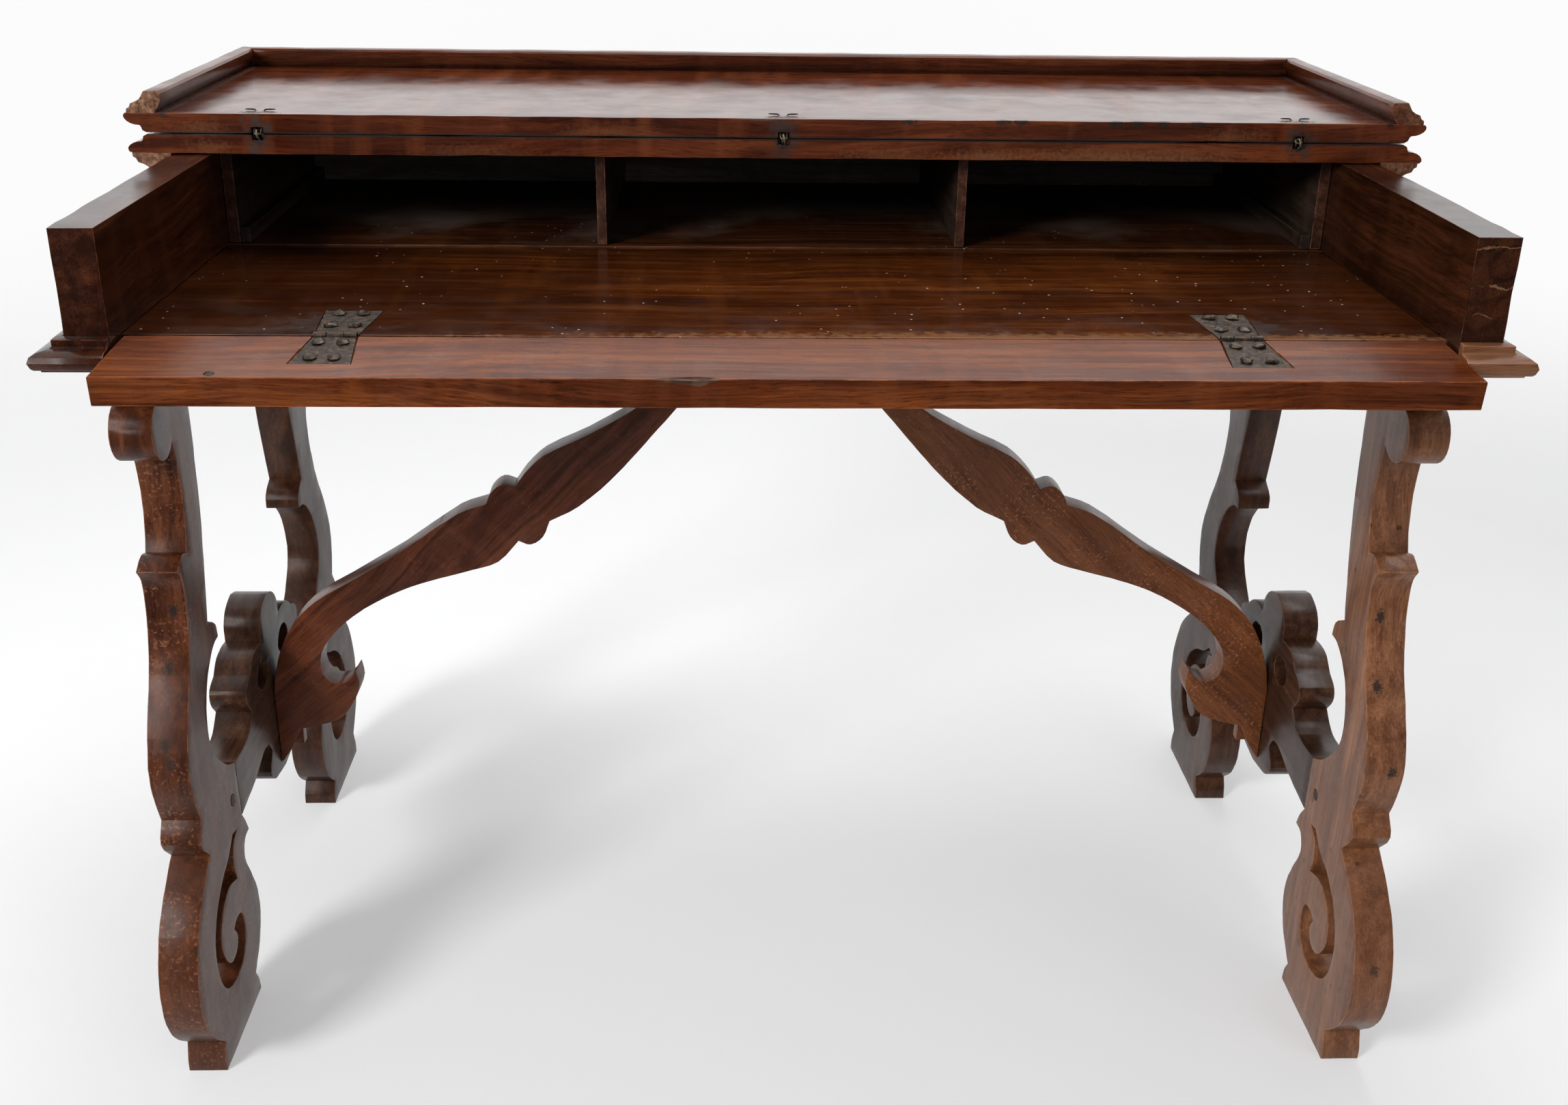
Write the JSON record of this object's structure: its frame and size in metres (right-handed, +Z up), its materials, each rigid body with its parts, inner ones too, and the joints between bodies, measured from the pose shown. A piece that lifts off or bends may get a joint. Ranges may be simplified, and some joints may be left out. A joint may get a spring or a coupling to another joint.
{
  "type": "writing desk",
  "caption": "Walnut writing desk on carved scrolling trestles with curved stretchers, a fall front and a folding lid over open compartments.",
  "frame": {"origin": "on the floor under the middle of the whole desk's box", "axes": "+X along the desk's width to the right as seen from the front, +Y to the back, +Z up"},
  "size_m": [1.258, 0.8022, 0.9214],
  "materials": {
    "stand_wood": "worn satin walnut",
    "peg_wood": "dull walnut",
    "case_wood": "polished walnut",
    "lid_wood": "glossy polished walnut",
    "fall_wood": "polished reddish walnut",
    "floor_wood": "dark polished walnut",
    "inner_wood": "dull walnut",
    "iron": "dark rusted forged iron"
  },
  "bodies": {
    "frame": {"leg_front_left": "stand_wood", "leg_back_left": "stand_wood", "cross_piece_left": "stand_wood", "rail_left": "stand_wood", "stretcher_left": "stand_wood", "leg_front_right": "stand_wood", "leg_back_right": "stand_wood", "cross_piece_right": "stand_wood", "rail_right": "stand_wood", "stretcher_right": "stand_wood", "peg_front_left": "peg_wood", "peg_back_left": "peg_wood", "peg_front_right": "peg_wood", "peg_back_right": "peg_wood", "batten": "inner_wood", "cheek_left": "case_wood", "cheek_right": "case_wood", "writing_board": "floor_wood", "rear_floor": "floor_wood", "back_panel": "inner_wood", "liner_left": "inner_wood", "liner_right": "inner_wood", "divider_left": "inner_wood", "divider_right": "inner_wood", "guide_left": "inner_wood", "guide_right": "inner_wood", "base_moulding_left": "case_wood", "base_moulding_right": "case_wood", "base_moulding_back": "case_wood", "lid_rear": "lid_wood", "cornice_rear_left": "case_wood", "cornice_rear_right": "case_wood", "cornice_rear_back": "case_wood", "lid_eye_left": "iron", "lid_eye_middle": "iron", "lid_eye_right": "iron", "hinge_floor_left": "iron", "hinge_pin_left": "iron", "nail_floor_left_1": "iron", "nail_floor_left_2": "iron", "hinge_floor_right": "iron", "hinge_pin_right": "iron", "nail_floor_right_1": "iron", "nail_floor_right_2": "iron"},
    "fall": {"fall": "fall_wood", "fall_stud": "iron", "hinge_fall_left": "iron", "nail_fall_left_1": "iron", "nail_fall_left_2": "iron", "hinge_fall_right": "iron", "nail_fall_right_1": "iron", "nail_fall_right_2": "iron"},
    "lid": {"lid_front": "lid_wood", "cornice_front_left": "case_wood", "cornice_front_right": "case_wood", "cornice_front_cross": "case_wood", "lid_staple_left": "iron", "lid_staple_middle": "iron", "lid_staple_right": "iron"}
  },
  "joints": [
    {"name": "fall_hinge", "type": "hinge", "parent": "frame", "child": "fall", "pos_m": [0, -0.30888, 0.769], "axis": [-1, 0, 0], "range_deg": [0, 94.3]},
    {"name": "lid_hinge", "type": "hinge", "parent": "frame", "child": "lid", "pos_m": [0, -0.01488, 0.88195], "axis": [1, 0, 0], "range_deg": [0, 180]}
  ]
}
